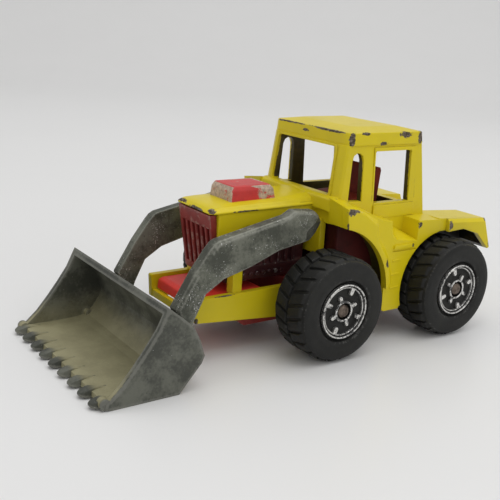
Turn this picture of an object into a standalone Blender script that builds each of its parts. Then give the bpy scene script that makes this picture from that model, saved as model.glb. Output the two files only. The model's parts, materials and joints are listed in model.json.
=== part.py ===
"""Die-cast toy wheel loader: cab tractor, one-piece loader frame and bucket, four rolling wheels.

Frame: +Z up, the bucket points along -Y, +X is the driver's left-hand side.
The origin lies on the ground under the middle of the toy's bounding box.
All lengths in the tables are millimetres; MM turns them into metres.
"""
import math

import bmesh
import bpy
from mathutils import Vector

MM = 0.001
GAP = 0.3                      # clearance between neighbouring pieces

# Running gear
WHEEL_RADIUS = 8.0
WHEELBASE = 24.2
FRONT_AXLE_Y = 1.4
REAR_AXLE_Y = FRONT_AXLE_Y + WHEELBASE
WHEEL_FACE_X = 17.2            # outer face of a wheel
WHEEL_BACK_X = 9.7             # inner face of a wheel
HUB_RADIUS = 4.15
AXLE_RADIUS = 0.8
BORE_RADIUS = AXLE_RADIUS + GAP
ROUND_STEPS = 32

# Body casting
BODY_HALF = 13.6               # outer face of the fenders
CAB_HALF = 9.5                 # outer face of the cab wall at its foot
CAB_FOOT_Z = 19.3
CAB_TOP_Z = 30.4
CAB_WALL = 1.1
ROOF_HALF = 9.44
ROOF_FRONT_Y = 6.0
ROOF_REAR_Y = 21.9
ROOF_EDGE_Z = 32.7
ROOF_CROWN_Z = 33.3
HOOD_HALF = 5.2
HOOD_FRONT_Y = -14.7
HOOD_REAR_Y = 3.55
HOOD_TOP_Z = 22.2
HOOD_SKIRT_Z = 17.2
FRONT_ARCH_RADIUS = 11.5
REAR_ARCH_RADIUS = 9.0
COLUMN_FOOT_Z = 4.8
FENDER_SPLIT_Y = 24.05         # seam between the body side and the rear fender
FENDER_INNER_X = 6.83

# Red moulding
RAIL_OUTER = 7.15
RAIL_WALL = 1.0
MOULDING_HALF = RAIL_OUTER - RAIL_WALL - GAP
BASE_UNDERSIDE_Z = 3.6
BASE_TOP_Z = 5.9
ENGINE_FOOT_Z = 10.2
RIVETS = (("front", -5.5), ("rear", 17.0))

# Loader
BUCKET_HALF = 15.4
BUCKET_WALL = 0.9
TOOTH_COUNT = 9
LIP_Y = -35.5
TOOTH_TIP_Y = -36.9
ARM_INNER_X = 8.1
ARM_OUTER_X = 10.1
PIVOT_Y = -0.8
PIVOT_Z = 19.2
STUB_RADIUS = 1.0
STUB_END_X = 4.3

AXES = {"X": (1, 2, 0), "Y": (0, 2, 1), "Z": (0, 1, 2)}
SIDES = (("left", 1), ("right", -1))


def clear_scene():
    for item in list(bpy.data.objects):
        bpy.data.objects.remove(item, do_unlink=True)


def paint(name, colour, roughness, metallic=0.0):
    """A Principled material of one colour."""
    made = bpy.data.materials.new(name)
    made.use_nodes = True
    shader = made.node_tree.nodes["Principled BSDF"]
    shader.inputs["Base Color"].default_value = (*colour, 1.0)
    shader.inputs["Roughness"].default_value = roughness
    shader.inputs["Metallic"].default_value = metallic
    made.diffuse_color = (*colour, 1.0)
    return made


def to_object(bm, name, finish, place=(0, 0, 0)):
    """Close a bmesh into a named object, its origin at place (millimetres)."""
    bmesh.ops.recalc_face_normals(bm, faces=bm.faces)
    mesh = bpy.data.meshes.new(name)
    bm.to_mesh(mesh)
    bm.free()
    made = bpy.data.objects.new(name, mesh)
    made.location = Vector(place) * MM
    bpy.context.scene.collection.objects.link(made)
    if finish is None:
        made.hide_render = True
        made.display_type = "WIRE"
    else:
        mesh.materials.append(finish)
    return made


def loft(name, axis, outline_low, low, outline_high, high, finish=None):
    """A solid between two outlines of equal length, on two planes across an axis."""
    first, second, along = AXES[axis]
    bm = bmesh.new()
    rings = []
    for outline, level in ((outline_low, low), (outline_high, high)):
        ring = []
        for a, b in outline:
            point = [0.0, 0.0, 0.0]
            point[first], point[second], point[along] = a * MM, b * MM, level * MM
            ring.append(bm.verts.new(point))
        rings.append(ring)
    bm.faces.new(rings[0])
    bm.faces.new(list(reversed(rings[1])))
    count = len(outline_low)
    for index in range(count):
        after = (index + 1) % count
        bm.faces.new((rings[0][index], rings[0][after], rings[1][after], rings[1][index]))
    return to_object(bm, name, finish)


def prism(name, axis, outline, low, high, finish=None):
    return loft(name, axis, outline, low, outline, high, finish)


def block(name, low, high, finish=None):
    """A box between two corners."""
    outline = [(low[0], low[1]), (high[0], low[1]), (high[0], high[1]), (low[0], high[1])]
    return prism(name, "Z", outline, low[2], high[2], finish)


def rod(name, radius, x_low, x_high, y, z, finish=None, steps=ROUND_STEPS):
    """A round bar along X."""
    return prism(name, "X", arc(y, z, radius, 0, 360, steps)[:-1], x_low, x_high, finish)


def post(name, radius, x, y, z_low, z_high, finish=None):
    """A round bar along Z."""
    return prism(name, "Z", arc(x, y, radius, 0, 360, 24)[:-1], z_low, z_high, finish)


def arc(a, b, radius, start, end, steps):
    """Points on an arc about (a, b), angles in degrees."""
    points = []
    for index in range(steps + 1):
        angle = math.radians(start + (end - start) * index / steps)
        points.append((a + radius * math.cos(angle), b + radius * math.sin(angle)))
    return points


def cut(target, cutter):
    step = target.modifiers.new("cut_" + cutter.name, "BOOLEAN")
    step.operation = "DIFFERENCE"
    step.object = cutter


def weld(target, extra):
    step = target.modifiers.new("weld_" + extra.name, "BOOLEAN")
    step.operation = "UNION"
    step.object = extra


def soften(target, width, segments=2):
    step = target.modifiers.new("soften", "BEVEL")
    step.width = width * MM
    step.segments = segments
    step.limit_method = "ANGLE"
    step.angle_limit = math.radians(40)


def turned(name, outline, place, outward, finish):
    """A ring turned about X from a closed outline of (radius, depth) points.

    Depth runs outwards from the wheel's inner face; outward is +1 or -1 along X.
    """
    bm = bmesh.new()
    ring = [bm.verts.new((outward * depth * MM, 0.0, radius * MM)) for radius, depth in outline]
    edges = [bm.edges.new((ring[i], ring[(i + 1) % len(ring)])) for i in range(len(ring))]
    bmesh.ops.spin(bm, geom=ring + edges, cent=(0, 0, 0), axis=(1, 0, 0),
                   angle=math.tau, steps=ROUND_STEPS)
    bmesh.ops.remove_doubles(bm, verts=bm.verts, dist=0.001 * MM)
    made = to_object(bm, name, finish, place)
    made.data.shade_smooth()
    made.data.set_sharp_from_angle(angle=math.radians(35))
    return made


# ---------------------------------------------------------------- body casting

def make_roof(finish):
    """A slab with clipped front corners and a low hipped crown; its front and rear faces lean in."""
    def outline(inset, front, rear):
        half = ROOF_HALF - inset
        return [(half, front + inset + 0.7), (half, rear - inset), (-half, rear - inset),
                (-half, front + inset + 0.7), (-half + 1.3, front + inset), (half - 1.3, front + inset)]

    front, rear = ROOF_FRONT_Y + 0.2, ROOF_REAR_Y - 0.35
    roof = loft("roof", "Z", outline(0, ROOF_FRONT_Y, ROOF_REAR_Y), CAB_TOP_Z + GAP,
                outline(0, front, rear), ROOF_EDGE_Z, finish)
    soften(roof, 0.3)
    weld(roof, loft("roof_crown", "Z", outline(0.4, front, rear), ROOF_EDGE_Z - 0.2,
                    outline(3.0, front, rear), ROOF_CROWN_Z))


def make_cab_frame(finish):
    """Four leaning walls with window openings, open above and below."""
    foot = [(CAB_HALF, 23.7), (-CAB_HALF, 23.7), (-CAB_HALF, 5.0), (-8.3, 4.3), (8.3, 4.3), (CAB_HALF, 5.0)]
    head = [(9.2, 21.8), (-9.2, 21.8), (-9.2, 6.6), (-7.9, 5.7), (7.9, 5.7), (9.2, 6.6)]
    cab = loft("cab_frame", "Z", foot, CAB_FOOT_Z, head, CAB_TOP_Z, finish)

    def inside(outline):
        mid_y = (outline[0][1] + outline[3][1]) / 2
        half_y = (outline[0][1] - outline[3][1]) / 2
        shrink_x = 1 - CAB_WALL / outline[0][0]
        shrink_y = 1 - CAB_WALL / half_y
        return [(x * shrink_x, mid_y + (y - mid_y) * shrink_y) for x, y in outline]

    cut(cab, loft("cab_room", "Z", inside(foot), CAB_FOOT_Z - 1, inside(head), CAB_TOP_Z + 1))
    screen = [(-7.3, 23.1), (7.3, 23.1), (7.1, 30.0), (-7.1, 30.0)]
    cut(cab, prism("windscreen_cutter", "Y", screen, 0, 12))
    cut(cab, block("rear_window_cutter", (-7.4, 18, 20.4), (7.4, 28, 29.4)))
    cut(cab, block("quarter_window_cutter", (-12, 7.0, 22.3), (12, 9.7, 29.5)))
    door = [(12.3, 21.75), (19.7, 21.75), (19.4, 29.8), (12.0, 29.8)]
    cut(cab, prism("door_window_cutter", "X", door, -12, 12))


def make_hood(finish):
    """A bent cover: crowned top with a lip, and a skirt on each side."""
    lip_z, skirt_x, inner_x = 20.9, HOOD_HALF - 0.3, HOOD_HALF - 1.2
    half = [(inner_x, HOOD_SKIRT_Z), (skirt_x, HOOD_SKIRT_Z), (skirt_x, lip_z), (HOOD_HALF, lip_z),
            (HOOD_HALF, 21.5), (3.0, HOOD_TOP_Z)]
    outline = half + [(-x, z) for x, z in reversed(half)] + [(-inner_x, 20.4), (inner_x, 20.4)]
    hood = prism("hood", "Y", outline, HOOD_FRONT_Y, HOOD_REAR_Y, finish)
    mouth = [(HOOD_FRONT_Y - 1, 16), (-12.5, 16), (-13.3, 20.6), (HOOD_FRONT_Y - 1, 20.6)]
    cut(hood, prism("hood_mouth", "X", mouth, -8, 8))
    cut(hood, rod("pivot_hole", STUB_RADIUS + GAP, -8, 8, PIVOT_Y, PIVOT_Z, steps=24))


def make_cowl(finish):
    """The wall across the body where the hood meets the cab."""
    block("cowl", (-9.2, 4.2, 14.0), (9.2, 5.2, CAB_FOOT_Z - GAP), finish)


def make_body_side(side, sign, finish):
    """Flare over the front wheel, step column and the front of the rear arch."""
    front_arch = arc(FRONT_AXLE_Y, WHEEL_RADIUS, FRONT_ARCH_RADIUS, 78, 0, 14)
    rear_arch = arc(REAR_AXLE_Y, WHEEL_RADIUS, REAR_ARCH_RADIUS, 198, 100, 12)
    under = front_arch + [(13.2, COLUMN_FOOT_Z), (16.8, COLUMN_FOOT_Z)] + rear_arch
    rear = FENDER_SPLIT_Y - GAP / 2
    outer = under + [(rear, 16.9), (rear, 18.4), (17.5, 19.0), (11.5, 19.9), (5.5, 22.2), (3.5, 22.5)]
    inner = under + [(rear, 16.9), (rear, 19.1), (17.5, 19.3), (11.5, 19.9), (6.2, 22.75), (3.6, 23.1)]
    wall = loft("body_side_" + side, "X", inner, sign * (CAB_HALF + GAP), outer, sign * BODY_HALF, finish)
    notch_deep = [(13.6, 21.5), (13.6, 19.8), (16.6, 17.7), (19.1, 16.8), (19.1, 21.5)]
    notch_open = [(13.4, 21.5), (13.4, 18.9), (14.8, 16.6), (19.3, 16.1), (19.3, 21.5)]
    cut(wall, loft("notch", "X", notch_deep, sign * 9.6, notch_open, sign * 14.0))
    front_room = [(4.6, 6.0)] + arc(FRONT_AXLE_Y, WHEEL_RADIUS, 12.6, -8, 58, 10) + [(8.0, 20.0), (4.6, 21.0)]
    rear_room = arc(REAR_AXLE_Y, WHEEL_RADIUS, 10.0, 200, 112, 10) + [(22.5, 4.0)]
    for name, room in (("front_room", front_room), ("rear_room", rear_room)):
        cut(wall, prism(name, "X", room, sign * 9.0, sign * 12.3))


def make_rear_fender(side, sign, finish):
    """Flat-topped mudguard with a skirt that leans out to the rear and a wall inside the wheel."""
    outline = [(FENDER_SPLIT_Y + GAP / 2, 17.0), (FENDER_SPLIT_Y + GAP / 2, 19.0), (34.9, 18.3),
               (36.9, 13.0), (36.2, 12.9), (33.2, 15.8), (29.4, 17.0)]
    fender = prism("rear_fender_" + side, "X", outline, sign * FENDER_INNER_X, sign * BODY_HALF, finish)
    ends = sorted((sign * FENDER_INNER_X, sign * (FENDER_INNER_X + 1.0)))
    weld(fender, block("well_wall_" + side, (ends[0], FENDER_SPLIT_Y + GAP / 2, 10.3), (ends[1], 32.8, 17.3)))


def make_rear_deck(finish):
    """Lower deck between the mudguards, turned down into the tail panel."""
    outline = [(24.2, 14.9), (24.2, 16.5), (34.3, 16.5), (34.9, 6.5), (33.6, 6.5), (33.0, 14.9)]
    half = FENDER_INNER_X - GAP
    prism("rear_deck", "X", outline, -half, half, finish)


def make_front_frame(finish):
    """Two rails, the lip that joins them and a post up to each hood skirt."""
    rail = [(-17.8, 5.8), (-1.5, 4.5), (-1.5, 9.45), (-18.0, 9.4)]
    inner = RAIL_OUTER - RAIL_WALL
    frame = prism("front_frame", "X", rail, inner, RAIL_OUTER, finish)
    weld(frame, prism("rail_right", "X", rail, -RAIL_OUTER, -inner))
    weld(frame, block("rail_lip", (-inner - 0.5, -17.6, 5.95), (inner + 0.5, -16.8, 7.0)))
    for side, sign in SIDES:
        foot = sorted((sign * 5.1, sign * 6.6))
        weld(frame, block("rail_post_" + side, (foot[0], -11.4, 9.2), (foot[1], -9.8, HOOD_SKIRT_Z - GAP)))


# --------------------------------------------------------------- red mouldings

def make_engine_cover(finish):
    foot = [(-3.2, -10.3), (3.2, -10.3), (3.2, -1.6), (-3.2, -1.6)]
    head = [(-2.6, -9.7), (2.6, -9.7), (2.6, -2.8), (-2.6, -2.8)]
    cover = loft("engine_cover", "Z", foot, HOOD_TOP_Z + GAP, head, 24.4, finish)
    soften(cover, 0.4, 3)


def make_grille(finish):
    """A leaning panel with upright slots."""
    outline = [(-14.5, 20.3), (-13.6, 20.3), (-12.1, 11.0), (-13.0, 11.0)]
    grille = prism("grille", "X", outline, -4.5, 4.5, finish)
    slots = 5
    pitch = 1.6
    for index in range(slots):
        x = (index - (slots - 1) / 2) * pitch
        cut(grille, block("grille_slot_%d" % index, (x - 0.45, -16, 12.2), (x + 0.45, -10, 18.6)))


def make_engine_block(finish):
    """Lower block that shows beside the arms, with a narrower top inside the hood."""
    half = [(4.7, ENGINE_FOOT_Z), (4.7, 16.8), (3.7, 16.8), (3.7, 20.1)]
    outline = half + [(-x, z) for x, z in reversed(half)]
    prism("engine_block", "Y", outline, -11.3, 3.3, finish)


def make_front_block(finish):
    outline = [(-17.2, 7.4), (-5.0, 6.3), (-5.0, 9.0), (-16.5, 9.0)]
    prism("front_block", "X", outline, -MOULDING_HALF, MOULDING_HALF, finish)


def make_base_plate(finish):
    outline = [(-11.0, BASE_TOP_Z - 0.4), (-8.5, BASE_UNDERSIDE_Z), (30.5, BASE_UNDERSIDE_Z),
               (33.2, BASE_TOP_Z - 0.4), (33.2, BASE_TOP_Z), (-11.0, BASE_TOP_Z)]
    plate = prism("base_plate", "X", outline, -MOULDING_HALF, MOULDING_HALF, finish)
    for end, y in RIVETS:
        cut(plate, post("rivet_hole_" + end, 1.0 + GAP, 0, y, 2, 8))


def make_base_rivet(end, y, finish):
    """Casting post that holds the base, with its spread head underneath."""
    rivet = post("base_rivet_" + end, 1.0, 0, y, BASE_UNDERSIDE_Z - 0.5, BASE_TOP_Z, finish)
    weld(rivet, post("rivet_head_" + end, 1.7, 0, y, BASE_UNDERSIDE_Z - 0.7, BASE_UNDERSIDE_Z - GAP))


def make_axle_carrier(end, y, finish):
    """Block on the base that the fixed axle passes through."""
    carrier = block("axle_carrier_" + end, (-MOULDING_HALF, y - 2.4, BASE_TOP_Z + GAP),
                    (MOULDING_HALF, y + 2.4, ENGINE_FOOT_Z - GAP), finish)
    cut(carrier, rod("axle_hole_" + end, BORE_RADIUS, -10, 10, y, WHEEL_RADIUS, steps=24))


def make_interior(finish):
    block("interior_floor", (-9.2, 5.6, ENGINE_FOOT_Z), (9.2, 22.0, CAB_FOOT_Z - GAP), finish)
    profile = [(10.6, 19.35), (17.4, 19.35), (18.2, 26.0), (17.1, 26.2), (16.2, 21.4), (10.8, 21.2)]
    seat = prism("seat", "X", profile, -4.4, 4.4, finish)
    soften(seat, 0.4)


# ---------------------------------------------------------------------- loader

def make_bucket(finish):
    """Scoop with a folded back, two cheek plates and a toothed lip."""
    back = [(-26.7, 12.3), (-23.1, 9.3), (-21.2, 4.9), (-24.9, 0.0)]
    cheek_front = [(LIP_Y, 0.0), (LIP_Y, BUCKET_WALL), (-33.0, 2.8), (-29.6, 7.2), (-27.1, 11.8)]
    bucket = prism("bucket", "X", back + cheek_front, -BUCKET_HALF, BUCKET_HALF, finish)
    hollow = [(-28.2, 12.3), (-27.0, 11.0), (-24.0, 8.8), (-22.3, 5.0), (-25.3, BUCKET_WALL),
              (-40.0, BUCKET_WALL), (-40.0, 14.0)]
    cut(bucket, prism("bucket_hollow", "X", hollow, -BUCKET_HALF + BUCKET_WALL, BUCKET_HALF - BUCKET_WALL))
    pitch = 2 * BUCKET_HALF / TOOTH_COUNT
    for index in range(TOOTH_COUNT):
        x = (index - (TOOTH_COUNT - 1) / 2) * pitch
        reach = TOOTH_TIP_Y - LIP_Y
        tooth = [(x - 1.2, LIP_Y + 0.6), (x + 1.2, LIP_Y + 0.6), (x + 1.1, LIP_Y + reach * 0.6),
                 (x + 0.5, TOOTH_TIP_Y), (x - 0.5, TOOTH_TIP_Y), (x - 1.1, LIP_Y + reach * 0.6)]
        weld(bucket, prism("tooth_%d" % index, "Z", tooth, 0.2, BUCKET_WALL + 0.3))


def make_arm(side, sign, finish):
    """Cranked arm with its cast-in pivot stub."""
    upper = [(-22.7, 9.6), (-19.8, 14.4), (-17.6, 17.4), (-16.2, 18.6), (-4.6, 21.05), (-3.3, 21.8)]
    rear_end = [(0.5, 21.5), (1.6, 20.7), (2.35, 19.5), (1.5, 18.0), (0.4, 16.9), (-6.0, 16.2)]
    outline = upper + rear_end + [
        (-10.9, 14.3), (-15.3, 13.1), (-18.1, 11.3), (-19.7, 8.0), (-20.3, 6.3), (-21.3, 6.3)]
    arm = prism("arm_" + side, "X", outline, sign * ARM_INNER_X, sign * ARM_OUTER_X, finish)
    ends = sorted((sign * STUB_END_X, sign * (ARM_INNER_X + 0.8)))
    weld(arm, rod("stub_" + side, STUB_RADIUS, ends[0], ends[1], PIVOT_Y, PIVOT_Z, steps=24))


# ---------------------------------------------------------------- running gear

def make_axle(end, y, finish):
    """Wire axle with a spread head at each end."""
    head = 0.5
    axle = rod("axle_" + end, AXLE_RADIUS, -WHEEL_FACE_X, WHEEL_FACE_X, y, WHEEL_RADIUS, finish)
    for side, sign in SIDES:
        ends = sorted((sign * (WHEEL_FACE_X - head), sign * WHEEL_FACE_X))
        weld(axle, rod("axle_head_%s_%s" % (end, side), 1.2, ends[0], ends[1], y, WHEEL_RADIUS))


def make_wheel(name, sign, y, tyre_finish, hub_finish):
    """A tyre ring with rounded shoulders and the hub disc inside it."""
    place = (sign * WHEEL_BACK_X, y, WHEEL_RADIUS)
    width = WHEEL_FACE_X - WHEEL_BACK_X
    seat_radius = HUB_RADIUS + GAP
    tyre = [(seat_radius, 0.6), (seat_radius + 0.8, 0.0), (6.9, 0.0), (7.7, 0.5), (WHEEL_RADIUS, 1.4),
            (WHEEL_RADIUS, 5.6), (7.75, 6.5), (6.9, width), (5.2, width), (seat_radius, width - 0.5)]
    turned("tyre_" + name, tyre, place, sign, tyre_finish)
    face = width - 0.65
    hub = [(BORE_RADIUS, 0.6), (HUB_RADIUS, 0.6), (HUB_RADIUS, width), (HUB_RADIUS - 0.3, width),
           (HUB_RADIUS - 0.6, face), (1.9, face), (1.65, face - 0.2), (BORE_RADIUS + 0.3, face - 0.9),
           (BORE_RADIUS, face - 0.9)]
    turned("hub_" + name, hub, place, sign, hub_finish)


def main():
    clear_scene()
    yellow = paint("yellow_paint", (0.72, 0.60, 0.02), 0.35)
    red = paint("red_plastic", (0.50, 0.04, 0.04), 0.4)
    dark_red = paint("dark_red_plastic", (0.16, 0.02, 0.03), 0.5)
    zinc = paint("bare_zinc", (0.15, 0.16, 0.13), 0.5, 0.8)
    black = paint("black_tyre", (0.02, 0.02, 0.02), 0.6)
    silver = paint("silver_hub", (0.6, 0.6, 0.6), 0.3, 0.9)
    steel = paint("steel_wire", (0.35, 0.32, 0.29), 0.35, 1.0)

    make_roof(yellow)
    make_cab_frame(yellow)
    make_hood(yellow)
    make_cowl(yellow)
    make_rear_deck(yellow)
    make_front_frame(yellow)
    for side, sign in SIDES:
        make_body_side(side, sign, yellow)
        make_rear_fender(side, sign, yellow)
        make_arm(side, sign, zinc)
    make_engine_cover(red)
    make_grille(red)
    make_engine_block(dark_red)
    make_front_block(red)
    make_base_plate(red)
    for end, y in RIVETS:
        make_base_rivet(end, y, zinc)
    make_interior(dark_red)
    make_bucket(zinc)
    for end, y in (("front", FRONT_AXLE_Y), ("rear", REAR_AXLE_Y)):
        make_axle_carrier(end, y, red)
        make_axle(end, y, steel)
        for side, sign in SIDES:
            make_wheel("%s_%s" % (end, side), sign, y, black, silver)


main()
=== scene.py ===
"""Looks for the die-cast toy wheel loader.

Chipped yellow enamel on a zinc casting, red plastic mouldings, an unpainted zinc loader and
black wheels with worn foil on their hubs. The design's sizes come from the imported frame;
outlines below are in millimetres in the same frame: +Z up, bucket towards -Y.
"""
import json
import math

import bmesh
import bpy
from mathutils import Matrix, Vector
from mathutils.kdtree import KDTree


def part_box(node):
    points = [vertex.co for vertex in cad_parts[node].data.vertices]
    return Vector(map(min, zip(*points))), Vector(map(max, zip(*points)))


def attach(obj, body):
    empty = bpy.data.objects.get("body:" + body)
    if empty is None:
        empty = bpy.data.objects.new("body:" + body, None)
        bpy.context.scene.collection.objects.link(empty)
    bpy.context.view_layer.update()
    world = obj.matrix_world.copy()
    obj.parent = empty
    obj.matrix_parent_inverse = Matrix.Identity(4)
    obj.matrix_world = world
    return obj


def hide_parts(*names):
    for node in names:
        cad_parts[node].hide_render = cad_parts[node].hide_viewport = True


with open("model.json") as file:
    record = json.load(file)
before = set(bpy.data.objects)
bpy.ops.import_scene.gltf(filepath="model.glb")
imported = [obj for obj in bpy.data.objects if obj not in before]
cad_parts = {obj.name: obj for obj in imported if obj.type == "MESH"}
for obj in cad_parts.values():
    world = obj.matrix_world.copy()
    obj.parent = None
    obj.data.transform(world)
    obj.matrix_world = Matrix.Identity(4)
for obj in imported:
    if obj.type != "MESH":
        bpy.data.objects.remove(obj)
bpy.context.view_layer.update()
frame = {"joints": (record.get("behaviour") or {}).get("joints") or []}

MM = 0.001
SIDES = (("left", 1), ("right", -1))
AXES = {"X": (1, 2, 0), "Y": (0, 2, 1), "Z": (0, 1, 2)}
WALL = 1.0                     # thickness of the castings
MERGE = 0.002                  # points nearer than this are one
EDGE_REACH = 0.6               # how far wear spreads from an edge
CREASE_REACH = 0.5             # how far painted shade spreads from a corner
FACET_LENGTH = 0.62            # longest edge of a mesh that carries wear


def box(node):
    """Lowest and highest corners of a CAD node, in millimetres."""
    low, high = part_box(node)
    return low / MM, high / MM


ROOF_LOW, ROOF_HIGH = box("roof")
CAB_FOOT = box("cab_frame")[0].z
HOOD_TOP = box("hood")[1].z
BODY_HALF = box("body_side_left")[1].x      # outer face of the fenders
GUARD_INNER = box("rear_fender_left")[0].x  # inner face of the mudguards
RAIL_HALF = box("front_frame")[1].x
COVER_LOW, COVER_HIGH = box("engine_cover")
GRILLE_HALF = box("grille")[1].x
ENGINE_LOW, ENGINE_HIGH = box("engine_block")
BASE_LOW, BASE_HIGH = box("base_plate")
BUCKET_HALF = box("bucket")[1].x
ARM_INNER, ARM_OUTER = 8.1, box("arm_left")[1].x
TYRE_LOW, TYRE_HIGH = box("tyre_front_left")
TYRE_WIDTH = TYRE_HIGH.x - TYRE_LOW.x
WHEEL_RADIUS = (TYRE_HIGH.z - TYRE_LOW.z) / 2
FRONT_AXLE_Y = (TYRE_LOW.y + TYRE_HIGH.y) / 2
REAR_AXLE_Y = sum(corner.y for corner in box("tyre_rear_left")) / 2
PIVOT = Vector(next(j for j in frame["joints"] if j["name"] == "loader_lift")["pos_m"]) / MM


# ------------------------------------------------------------------ mesh tools

def link(name, mesh):
    made = bpy.data.objects.new(name, mesh)
    bpy.context.scene.collection.objects.link(made)
    return made


def from_bmesh(bm, name):
    bmesh.ops.recalc_face_normals(bm, faces=bm.faces)
    mesh = bpy.data.meshes.new(name)
    bm.to_mesh(mesh)
    bm.free()
    return link(name, mesh)


def loft(name, axis, rings):
    """A closed solid through (level, outline) rings set across an axis."""
    first, second, along = AXES[axis]
    bm = bmesh.new()
    made = []
    for level, outline in rings:
        ring = []
        for a, b in outline:
            point = [0.0, 0.0, 0.0]
            point[first], point[second], point[along] = a * MM, b * MM, level * MM
            ring.append(bm.verts.new(point))
        made.append(ring)
    bm.faces.new(made[0])
    bm.faces.new(list(reversed(made[-1])))
    count = len(made[0])
    for low, high in zip(made, made[1:]):
        for index in range(count):
            after = (index + 1) % count
            bm.faces.new((low[index], low[after], high[after], high[index]))
    return from_bmesh(bm, name)


def prism(name, axis, outline, low, high):
    return loft(name, axis, [(low, outline), (high, outline)])


def block(name, low, high):
    outline = [(low[0], low[1]), (high[0], low[1]), (high[0], high[1]), (low[0], high[1])]
    return prism(name, "Z", outline, low[2], high[2])


def arc(a, b, radius, start, end, steps):
    """Points on an arc about (a, b), angles in degrees."""
    turn = [math.radians(start + (end - start) * i / steps) for i in range(steps + 1)]
    return [(a + radius * math.cos(t), b + radius * math.sin(t)) for t in turn]


def rounded(low, high, radius, steps=4):
    """A rectangle's outline with round corners."""
    corners = ((high[0], high[1], 0), (low[0], high[1], 90),
               (low[0], low[1], 180), (high[0], low[1], 270))
    outline = []
    for a, b, start in corners:
        centre_a = a + (-radius if a == high[0] else radius)
        centre_b = b + (-radius if b == high[1] else radius)
        outline += arc(centre_a, centre_b, radius, start, start + 90, steps)
    return outline


def mirrored(half):
    """An outline made of one half and its mirror image across X = 0."""
    return half + [(-x, other) for x, other in reversed(half)]


def rod(name, axis, a, b, radius, low, high, steps=32):
    return prism(name, axis, arc(a, b, radius, 0, 360, steps)[:-1], low, high)


def turned(name, outline, steps=64, closed=True):
    """A solid turned about X from (radius, x) points; an open outline starts and ends on the axis."""
    bm = bmesh.new()
    ring = [bm.verts.new((x * MM, 0.0, radius * MM)) for radius, x in outline]
    pairs = list(zip(ring, ring[1:])) + ([(ring[-1], ring[0])] if closed else [])
    edges = [bm.edges.new(pair) for pair in pairs]
    bmesh.ops.spin(bm, geom=ring + edges, cent=(0, 0, 0), axis=(1, 0, 0), angle=math.tau, steps=steps)
    bmesh.ops.remove_doubles(bm, verts=bm.verts, dist=0.0005 * MM)
    return from_bmesh(bm, name)


def settle(piece):
    """Turn a piece's modifiers into its mesh."""
    graph = bpy.context.evaluated_depsgraph_get()
    mesh = bpy.data.meshes.new_from_object(piece.evaluated_get(graph))
    piece.modifiers.clear()
    piece.data = mesh
    mesh.transform(piece.matrix_world)
    piece.matrix_world = Matrix.Identity(4)
    return piece


def combine(piece, operation, others):
    for other in others:
        step = piece.modifiers.new(operation, "BOOLEAN")
        step.operation = operation
        step.object = other
    settle(piece)
    for other in others:
        bpy.data.objects.remove(other)
    return piece


def carve(piece, *cutters):
    return combine(piece, "DIFFERENCE", cutters)


def fuse(piece, *others):
    return combine(piece, "UNION", others)


def gather(piece, *others):
    """Put separate closed shapes into one piece."""
    bm = bmesh.new()
    for part in (piece, *others):
        bm.from_mesh(part.data)
    bm.to_mesh(piece.data)
    bm.free()
    for other in others:
        bpy.data.objects.remove(other)
    return piece


def round_off(piece, width, segments=2, angle=32):
    """Round a piece's edges as casting or moulding leaves them."""
    step = piece.modifiers.new("round", "BEVEL")
    step.width = width * MM
    step.segments = segments
    step.limit_method = "ANGLE"
    step.angle_limit = math.radians(angle)
    step.harden_normals = False
    return settle(piece)


def smooth(piece, angle=32):
    piece.data.shade_smooth()
    piece.data.set_sharp_from_angle(angle=math.radians(angle))
    return piece


def moved(piece, matrix):
    piece.data.transform(matrix)
    return piece


# ---------------------------------------------------------------- wear on edges

def edge_points(bm, convex, least_angle=28):
    """Points every quarter millimetre along a mesh's sharp edges."""
    points = []
    for edge in bm.edges:
        if len(edge.link_faces) != 2 or edge.is_convex != convex:
            continue
        if edge.calc_face_angle(0.0) < math.radians(least_angle):
            continue
        a, b = (v.co for v in edge.verts)
        count = max(1, int((b - a).length / (0.25 * MM)))
        points += [a.lerp(b, i / count) for i in range(count + 1)]
    return points


def tree_of(points):
    tree = KDTree(max(1, len(points)))
    for index, point in enumerate(points):
        tree.insert(point, index)
    tree.balance()
    return tree


def write(mesh, name, values):
    layer = mesh.attributes.get(name) or mesh.attributes.new(name, "FLOAT", "POINT")
    layer.data.foreach_set("value", values)


def weather(piece, width, segments=2, angle=32, bare=None, facet=FACET_LENGTH, grime=1.0):
    """Round a piece's edges, then mark how near each point lies to an edge or a corner.

    The function given for painted light and scuffs takes a point in millimetres and its normal and marks
    painted shade, painted highlights and scuffs; the corner shade factor scales the painted shade in the
    corners.
    """
    bm = bmesh.new()
    bm.from_mesh(piece.data)
    bmesh.ops.remove_doubles(bm, verts=bm.verts, dist=MERGE * MM)
    sharp = tree_of(edge_points(bm, True))
    hollow = tree_of(edge_points(bm, False))
    bm.free()
    if width:
        round_off(piece, width, segments, angle)
    bm = bmesh.new()
    bm.from_mesh(piece.data)
    bmesh.ops.triangulate(bm, faces=bm.faces)
    for _ in range(8):
        long_edges = [e for e in bm.edges if e.calc_length() > facet * MM]
        if not long_edges:
            break
        bmesh.ops.subdivide_edges(bm, edges=long_edges, cuts=1)
        bmesh.ops.triangulate(bm, faces=[f for f in bm.faces if len(f.verts) > 3])
    bm.to_mesh(piece.data)
    bm.free()
    mesh = piece.data

    def nearness(tree, point, reach):
        found = tree.find(point)
        distance = found[2] if found[2] is not None else 1.0
        return max(0.0, 1.0 - distance / (reach * MM))

    write(mesh, "edge", [nearness(sharp, v.co, EDGE_REACH) for v in mesh.vertices])
    write(mesh, "crease", [grime * nearness(hollow, v.co, CREASE_REACH) for v in mesh.vertices])
    if bare:
        write(mesh, "bare", [float(bare(v.co / MM, v.normal)) for v in mesh.vertices])
    return smooth(piece, angle)


# ---------------------------------------------------------------- repeated pieces

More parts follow.
